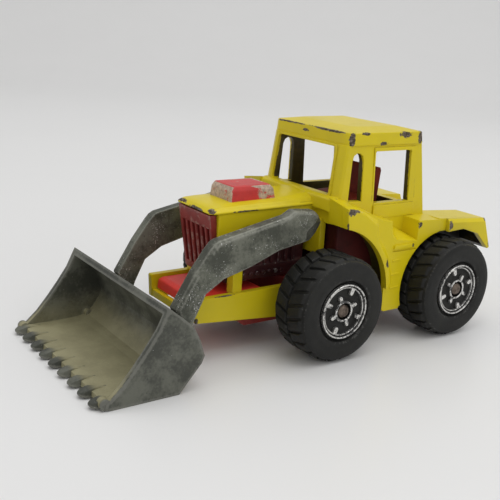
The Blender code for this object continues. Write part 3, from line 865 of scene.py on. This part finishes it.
def make_cover():
    """Moulded engine cover that pokes through the hood, its front and sides rubbed pale."""
    low, high = (COVER_LOW.x, COVER_LOW.y), (COVER_HIGH.x, COVER_HIGH.y)

    def ring(inset, rear, radius=0.35):
        return rounded((low[0] + inset, low[1] + inset), (high[0] - inset, high[1] - rear), radius, 4)

    top = COVER_HIGH.z
    cover = loft("scoop_cover", "Z", [(HOOD_TOP - 1.2, ring(-0.05, 0.0)), (top - 0.7, ring(0.2, 0.5)),
                                      (top, ring(0.55, 1.1))])

    def rubbed(point, normal):
        if normal.z > 0.75:
            return 0.46 if point.y > -7.0 and point.x < 0.9 else -0.2
        if normal.y < -0.45:
            return 0.68
        if abs(normal.x) > 0.5:
            fade = max(0.0, min(1.0, (point.y + 7.6) / 2.6))
            return max(0.3 if point.y < -9.5 or point.z < 22.7 else -0.5, 0.9 * fade - 0.26)
        return 0.3

    dress(cover, COVER_RED, 0.22, "engine_cover", segments=3, bare=rubbed, facet=0.4)


def make_grille():
    """Leaning panel in front of the engine: a frame with upright bars and a dark red panel behind them as
    painted shade.
    """
    top_z, low_z = 20.3, 11.0
    top_y, low_y = -14.5, -13.0

    def slab(low, high, front, rear):
        """A side outline between two heights, set back from the panel's leaning face."""
        low_face, high_face = (top_y + (z - top_z) * (low_y - top_y) / (low_z - top_z) for z in (low, high))
        return [(high_face + front, high), (high_face + rear, high), (low_face + rear, low),
                (low_face + front, low)]

    half = GRILLE_HALF
    panel = prism("grille_frame", "X", slab(10.9, 20.8, 0.0, 1.1), -half, half)
    carve(panel, prism("opening", "X", slab(12.0, 18.6, -2, 3), -half + 0.7, half - 0.7))
    dress(panel, RED, 0.12, "grille", bare=lambda point, normal: 0.5 * (normal.y < -0.5 and point.z > 18.7))
    bar = prism("bar", "X", slab(11.5, 19.0, 0.0, 0.95), -0.32, 0.32)
    round_off(bar, 0.14)
    count = 6
    pitch = 2 * (half - 0.35) / count
    bars = repeat("grille_bars", bar, RED, count - 1, start=(-pitch * (count / 2 - 1), 0, 0),
                  step=(pitch, 0, 0))
    # Pale scuffs on the bars' lower front faces, partly wear and partly painted highlight.
    dress(bars, RED, 0, bare=lambda point, normal: 0.46 if normal.y < -0.3 and point.z < 17.5 else 0.2)
    # Painted shade: a dark red panel behind the bars, a darker copy of their red plastic, stands for the
    # shade between them.
    radiator = prism("radiator", "X", slab(11.2, 20.0, 1.6, 2.2), -half + 0.2, half - 0.2)
    dress(radiator, DARK_RED, 0.08, slot="red_plastic")


def make_engine():
    """Engine moulding behind the arms: sump, cylinder ribs and a row of bolt heads."""
    half = [(4.4, ENGINE_LOW.z), (4.4, 12.3), (4.1, 12.6), (4.1, 16.8), (3.6, 16.8), (3.6, 20.1)]
    engine = prism("engine_moulding", "Y", mirrored(half), ENGINE_LOW.y, ENGINE_HIGH.y)
    dress(engine, ENGINE_RED, 0.15, "engine_block")
    for side, sign in SIDES:
        rib = block("rib", (-0.3, -0.28, 12.4), (0.3, 0.28, 16.6))
        bolt = rod("bolt", "X", 0, 0, 0.36, -0.3, 0.3, 10)
        for name, item, count, start, pitch in (("engine_ribs_", rib, 9, (4.25, -9.4, 0), 1.3),
                                                ("engine_bolts_", bolt, 8, (4.5, -9.2, 11.2), 1.15)):
            round_off(item, 0.12)
            x, y, z = start
            row = repeat(name + side, item, ENGINE_RED, count, start=(sign * x, y, z), step=(0, pitch, 0))
            dress(row, ENGINE_RED, 0)


def make_base():
    """Red baseplate with its nose block, axle carriers and the casting rivets that hold it."""
    nose = [(-17.2, 7.2), (-5.0, 6.2), (-5.0, 9.0), (-16.2, 9.0), (-17.0, 8.7)]
    half = RAIL_HALF - 1.3
    dress(prism("nose_block", "X", nose, -half, half), NOSE_RED, 0.25, "front_block")
    low_z, high_z = BASE_LOW.z, BASE_HIGH.z
    outline = [(-11.0, high_z - 0.4), (-8.5, low_z), (30.5, low_z), (33.2, high_z - 0.4), (33.2, high_z),
               (-11.0, high_z)]
    base = prism("base_shell", "X", outline, -half, half)
    for y_low, y_high in ((-3.2, -1.6), (5.0, 14.6), (19.4, 21.0)):
        pocket = rounded((-4.2, y_low), (4.2, y_high), 0.5)
        carve(base, prism("pocket", "Z", pocket, low_z - 1, low_z + 0.5))
    rivets = (("front", -5.5), ("rear", 17.0))
    for end, y in rivets:
        carve(base, rod("rivet_hole", "Z", 0, y, 1.25, low_z - 1, high_z + 1))
    bar = [(6.2, low_z + 0.1), (6.6, low_z + 0.1), (6.6, low_z + 0.6), (6.2, low_z + 0.6)]
    fuse(base, prism("rib_row", "X", bar, -4.4, 4.4))
    dress(base, RED, 0.2, "base_plate")
    for end, y in (("front", FRONT_AXLE_Y), ("rear", REAR_AXLE_Y)):
        low, high = box("axle_carrier_" + end)
        profile = [(low.y, low.z - 0.4), (high.y, low.z - 0.4), (high.y - 0.5, high.z), (low.y + 0.5, high.z)]
        carrier = prism("carrier_" + end, "X", profile, low.x, high.x)
        carve(carrier, rod("bore", "X", y, WHEEL_RADIUS, 1.1, -10, 10))
        dress(carrier, RED, 0.2, "axle_carrier_" + end)
    for end, y in rivets:
        low, high = box("base_rivet_" + end)
        head = [(0.0, low.z + 0.1), (0.5, low.z), (1.35, low.z + 0.05), (1.7, low.z + 0.3),
                (1.6, low.z + 0.5), (1.0, low.z + 0.6), (1.0, high.z), (0.0, high.z)]
        rivet = turned("rivet_" + end, head, 40, closed=False)
        moved(rivet, Matrix.Translation((0, y * MM, 0)) @ Matrix.Rotation(math.radians(-90), 4, "Y"))
        dress(rivet, ZINC, 0, "base_rivet_" + end)


def make_interior():
    """Dark red cab moulding: floor, dash and seat."""
    low, high = box("interior_floor")
    floor = block("cab_floor", low, high)
    fuse(floor, prism("dash", "X", [(5.7, 19.0), (8.2, 19.0), (7.4, 21.6), (6.2, 21.9)], -5.5, 5.5))
    dress(floor, DARK_RED, 0.2, "interior_floor")
    profile = [(10.6, 19.0), (17.6, 19.0), (18.2, 25.7), (18.0, 26.2), (17.3, 26.3), (16.9, 25.9),
               (16.1, 21.4), (11.0, 21.2), (10.6, 20.9)]
    low, high = box("seat")
    seat = prism("seat_moulding", "X", profile, low.x, high.x)
    groove = [(16.2, 21.8), (17.2, 25.6), (16.5, 25.8), (15.6, 21.8)]
    for x in (-1.5, 1.5):
        carve(seat, prism("groove", "X", groove, x - 0.12, x + 0.12))
    dress(seat, SEAT_RED, 0.35, "seat", segments=3)


# ------------------------------------------------------------------------ loader

def make_bucket():
    """Cast scoop: folded back, cheek plates, and a lip with blunt teeth that run back as ribs."""
    half, wall = BUCKET_HALF, 1.05
    lip_y = -35.5
    outline = [(-26.7, 12.3), (-24.6, 10.6), (-23.1, 9.3), (-21.9, 7.0), (-21.2, 4.9), (-21.6, 3.9),
               (-24.9, 0.05), (-34.6, 0.0), (-35.4, 0.3), (-35.3, 1.0), (-34.6, 1.35), (-33.0, 2.85),
               (-31.2, 5.05), (-29.6, 7.2), (-28.1, 9.4), (-27.0, 11.7)]
    bucket = prism("bucket_casting", "X", outline, -half, half)
    hollow = [(-28.6, 12.6), (-26.75, 11.0), (-24.9, 9.7), (-23.95, 8.8), (-23.0, 6.9), (-22.6, 5.4),
              (-22.8, 4.4), (-24.0, 2.6), (-25.2, 1.5), (-26.6, wall + 0.1), (-28.5, wall),
              (-40.0, wall - 0.05), (-40.0, 14.0)]
    carve(bucket, prism("hollow", "X", hollow, -half + wall, half - wall))
    for sign in (1, -1):
        fuse(bucket, rod("cheek_nub", "X", -35.3, 0.85, 0.72, sign * (half - 1.5), sign * (half - 0.12), 18))
        fuse(bucket, rod("feed_mark", "X", -25.1, 1.75, 0.55, sign * (half - 2.0), sign * (half - 0.6), 12))

    def dust(point, normal):
        if abs(point.x) > half - 0.5:
            return 0.0
        if normal.x * point.x < -0.6 * abs(point.x):
            return max(0.12, min(0.5, (7.5 - point.z) / 12.0))
        if normal.z < 0.2 and normal.y > -0.3:
            return 0.0
        return max(0.0, min(1.0, (6.2 - point.z) / 5.1)) * (1.0 if point.y > lip_y - 0.6 else 0.6)

    weather(bucket, 0.22, facet=0.7)
    write(bucket.data, "dust", [dust(v.co / MM, v.normal) for v in bucket.data.vertices])
    install(bucket, BUCKET_ZINC, "bucket", body="loader")
    count = 9
    pitch = 2 * half / count
    sections = ((-36.85, 0.45, 0.4, 0.4, 0.8), (-36.3, 0.85, 0.25, 0.75, 1.05), (-35.3, 0.95, 0.1, 0.7, 1.3),
                (-34.5, 0.8, 0.2, 0.4, 1.22), (-31.6, 0.3, 0.3, 0.08, 0.86))
    tooth = loft("tooth", "Y", [(y, [(-foot, low), (foot, low), (top, high), (-top, high)])
                                for y, foot, low, top, high in sections])
    round_off(tooth, 0.25, 3)
    teeth = repeat("bucket_teeth", tooth, BUCKET_ZINC, count, start=(-pitch * (count - 1) / 2, 0, 0),
                   step=(pitch, 0, 0))
    weather(teeth, 0)
    write(teeth.data, "dust", [max(0.0, min(0.9, 0.2 + (v.co.y / MM + 35.6) / 2.0)) if v.normal.z > 0.3
                               else 0.15 for v in teeth.data.vertices])
    install(teeth, BUCKET_ZINC, body="loader")


def make_arm(side, sign):
    """Cranked arm with a flat bevel along its upper edge and a turned-in facet at the rear end."""
    front = [(-22.7, 9.6), (-19.8, 14.4), (-17.6, 17.4), (-16.9, 18.2), (-16.2, 18.6), (-4.6, 21.05),
             (-3.3, 21.8)]
    back = [(-6.0, 16.2), (-10.9, 14.3), (-15.3, 13.1), (-18.1, 11.3), (-19.7, 8.0), (-20.3, 6.3),
            (-21.3, 6.3)]
    outline = front + [(0.5, 21.5), (1.6, 20.7), (2.35, 19.5), (1.5, 18.0), (0.4, 16.9)] + back
    shoulder = front + [(0.4, 21.4), (1.15, 20.7), (0.5, 19.7), (-1.0, 18.4), (-0.9, 17.0)] + back
    inset = [(-22.15, 9.5), (-19.35, 14.0), (-17.2, 17.0), (-16.6, 17.75), (-16.0, 18.2), (-4.5, 20.7),
             (-3.2, 21.45), (0.2, 21.1), (0.85, 20.5), (0.3, 19.7), (-1.2, 18.4), (-1.1, 17.1)] + back
    arm = loft("arm_casting_" + side, "X", [(sign * ARM_INNER, outline), (sign * 9.0, outline),
                                            (sign * 9.8, shoulder), (sign * ARM_OUTER, inset)])
    fuse(arm, rod("stub", "X", PIVOT.y, PIVOT.z, 1.0, sign * 4.3, sign * 8.6))
    dress(arm, ZINC, 0.1, "arm_" + side, body="loader", angle=20)


# ------------------------------------------------------------------ running gear

LUGS = 24
LUG_ROWS = ((0.45, 3.65, -1, 0.0), (3.85, 7.15, 1, 0.5))


def make_tyre(name, sign, y, turn):
    """Chunky tyre: a carcass with two staggered rows of slanted lugs and a stepped sidewall."""
    width = TYRE_WIDTH
    wall = [(4.05, 0.6), (4.9, 0.15), (5.3, 0.0), (6.6, 0.0), (7.2, 0.25), (7.6, 0.8), (7.64, width - 1.2),
            (7.6, width - 0.6), (7.45, width - 0.2), (7.15, width - 0.03), (6.6, width), (4.95, width),
            (4.7, width - 0.15), (4.55, width - 0.55), (4.4, width - 0.7), (4.05, width - 0.75)]
    carcass = turned("tyre_body_" + name, [(radius, sign * x) for radius, x in wall], 72)
    slant = math.tan(math.radians(17))
    for low, high, lean, phase in LUG_ROWS:
        def ring(half, low_x, high_x):
            """A lug's outline at one height: square ends, and sides that slant across the tread."""
            near, far = (lean * slant * (x - (low + high) / 2) for x in (low_x, high_x))
            return [(sign * low_x, near - half), (sign * high_x, far - half),
                    (sign * high_x, far + half), (sign * low_x, near + half)]

        inboard, outboard = low < 1, high > 5       # which end of the row is at the tyre's shoulder
        foot = ring(0.86, low - 0.1 * inboard, high + 0.1 * outboard)
        crown = ring(0.74, low + (0.7 if inboard else 0.15), high - (0.6 if outboard else 0.15))
        lug = loft("lug", "Z", [(7.2, foot), (WHEEL_RADIUS - 0.06, crown)])
        round_off(lug, 0.1)
        lugs = repeat("lugs", lug, TYRE, LUGS, turn=360 / LUGS)
        moved(lugs, Matrix.Rotation(math.radians(360 / LUGS * phase), 4, "X"))
        gather(carcass, lugs)
    weather(carcass, 0, facet=1.2)
    place = Matrix.Translation(Vector((sign * TYRE_LOW.x, y, WHEEL_RADIUS)) * MM)
    moved(carcass, place @ Matrix.Rotation(math.radians(turn), 4, "X"))
    install(carcass, TYRE, "tyre_" + name, body="wheel_" + name)


def make_hub(name, sign, y, turn):
    """Black wheel disc with a foil-blocked double rim, its lugs, and a ring with petals round the axle."""
    face = TYRE_WIDTH - 0.4
    disc = [(0.95, 0.6), (4.12, 0.6), (4.12, face + 0.3), (3.75, face + 0.05), (3.4, face - 0.25),
            (1.9, face - 0.25), (1.62, face), (1.45, face + 0.12), (1.3, face + 0.12), (1.22, face - 0.7),
            (0.95, face - 0.8)]
    place = Matrix.Translation(Vector((sign * TYRE_LOW.x, y, WHEEL_RADIUS)) * MM)
    plate = turned("hub_disc_" + name, [(radius, sign * x) for radius, x in disc], 64)
    weather(plate, 0)
    moved(plate, place)
    install(plate, TYRE, body="wheel_" + name)
    shapes = []
    for inner, outer, low, high in ((3.92, 4.15, face - 0.1, face + 0.42),
                                    (3.55, 3.72, face - 0.3, face + 0.2),
                                    (1.3, 1.6, face - 0.3, face + 0.22)):
        ring = [(inner, low), (inner, high - 0.06), (inner + 0.06, high), (outer - 0.06, high),
                (outer, high - 0.06), (outer, low)]
        shapes.append(turned("ring", [(radius, sign * x) for radius, x in ring], 64))
    for reach, end, half, start in ((3.7, 2.85, 0.33, 0), (1.5, 2.25, 0.27, 45)):
        tip = arc(end, 0, half, -90 if end > reach else 270, 90, 8)
        outline = [(reach, -half), *tip, (reach, half)]
        tab = prism("tab", "X", outline, sign * (face - 0.3), sign * (face + 0.2))
        round_off(tab, 0.06)
        tabs = repeat("tabs", tab, FOIL, 4, turn=90)
        shapes.append(moved(tabs, Matrix.Rotation(math.radians(start), 4, "X")))
    foil = gather(*shapes)
    foil.name = "hub_foil_" + name
    weather(foil, 0)
    moved(foil, place @ Matrix.Rotation(math.radians(turn), 4, "X"))
    install(foil, FOIL, "hub_" + name, body="wheel_" + name)


def make_axle(end, y):
    """Wire axle with a spun-over head at each end."""
    reach = box("axle_" + end)[1].x
    radius, head = 0.78, 0.98
    outline = [(0.0, -reach), (head * 0.7, -reach + 0.1), (head, -reach + 0.4), (head, -reach + 0.7),
               (radius, -reach + 0.9), (radius, reach - 0.9), (head, reach - 0.7), (head, reach - 0.4),
               (head * 0.7, reach - 0.1), (0.0, reach)]
    axle = turned("axle_wire_" + end, outline, 36, closed=False)
    weather(axle, 0, facet=1.5)
    moved(axle, Matrix.Translation(Vector((0, y, WHEEL_RADIUS)) * MM))
    install(axle, STEEL, "axle_" + end)


# ------------------------------------------------------------------------- stage

def make_stage():
    """A pale table that sweeps up behind the toy."""
    half, back, radius, top = 3.0, 0.75, 0.35, 0.9
    profile = [(-4.0, 0.0), (back - radius, 0.0)]
    profile += [(back - radius + radius * math.sin(t), radius - radius * math.cos(t))
                for t in (math.radians(a) for a in range(6, 91, 6))]
    profile.append((back, top))
    bm = bmesh.new()
    turn = Matrix.Rotation(math.radians(54.6), 3, "Z")      # square to the camera
    rows = [[bm.verts.new(turn @ Vector((x, y, z))) for x in (-half, half)] for y, z in profile]
    for low, high in zip(rows, rows[1:]):
        bm.faces.new((low[0], low[1], high[1], high[0]))
    table = from_bmesh(bm, "table")
    table.data.shade_smooth()
    table.data.materials.append(make_floor_finish())


def make_light(name, place, aim, size, power, colour=(1, 1, 1)):
    lamp = bpy.data.lights.new(name, "AREA")
    lamp.shape = "RECTANGLE"
    lamp.size, lamp.size_y = size
    lamp.energy = power
    lamp.color = colour
    made = bpy.data.objects.new(name, lamp)
    made.location = place
    made.rotation_euler = (Vector(aim) - Vector(place)).to_track_quat("-Z", "Y").to_euler()
    bpy.context.scene.collection.objects.link(made)


def make_lights():
    world = bpy.data.worlds.new("studio")
    world.use_nodes = True
    shade = world.node_tree.nodes["Background"]
    shade.inputs["Color"].default_value = (1.0, 0.995, 0.985, 1.0)
    shade.inputs["Strength"].default_value = 0.64
    bpy.context.scene.world = world
    make_light("overhead", (0.05, 0.10, 0.55), (0, 0, 0.01), (0.6, 0.6), 1.45)
    make_light("side", (0.50, 0.12, 0.30), (0, 0, 0.01), (0.4, 0.4), 0.28)


def make_camera():
    """The camera stands to the front left of the toy, a little above it."""
    azimuth, elevation, roll = math.radians(54.577), math.radians(15.733), math.radians(3.544)
    back = Vector((math.sin(azimuth) * math.cos(elevation), -math.cos(azimuth) * math.cos(elevation),
                   math.sin(elevation)))
    right = Vector((math.cos(azimuth), math.sin(azimuth), 0))
    up = back.cross(right)
    across = right * math.cos(roll) + up * math.sin(roll)
    upward = up * math.cos(roll) - right * math.sin(roll)
    camera = bpy.data.cameras.new("camera")
    camera.lens = 56.95
    camera.sensor_width = 36.0
    camera.clip_start = 0.002
    made = bpy.data.objects.new("camera", camera)
    made.matrix_world = Matrix((
        (across.x, upward.x, back.x, 0.097278),
        (across.y, upward.y, back.y, -0.073201),
        (across.z, upward.z, back.z, 0.047043),
        (0, 0, 0, 1)))
    bpy.context.scene.collection.objects.link(made)
    bpy.context.scene.camera = made


make_camera()
make_stage()
make_lights()
bpy.context.scene.view_settings.view_transform = "Standard"

make_roof()
make_cab()
make_hood()
make_cowl()
for side, sign in SIDES:
    make_side(side, sign)
    make_mudguard(side, sign)
    make_arm(side, sign)
make_tail()
make_rails()
make_cover()
make_grille()
make_engine()
make_base()
make_interior()
make_bucket()
for end, y in (("front", FRONT_AXLE_Y), ("rear", REAR_AXLE_Y)):
    make_axle(end, y)
for name, sign, y, turn, hub_turn in (
        ("front_left", 1, FRONT_AXLE_Y, 4, 66), ("front_right", -1, FRONT_AXLE_Y, 9, 31),
        ("rear_left", 1, REAR_AXLE_Y, 11, 17), ("rear_right", -1, REAR_AXLE_Y, 2, 58)):
    make_tyre(name, sign, y, turn)
    make_hub(name, sign, y, hub_turn)
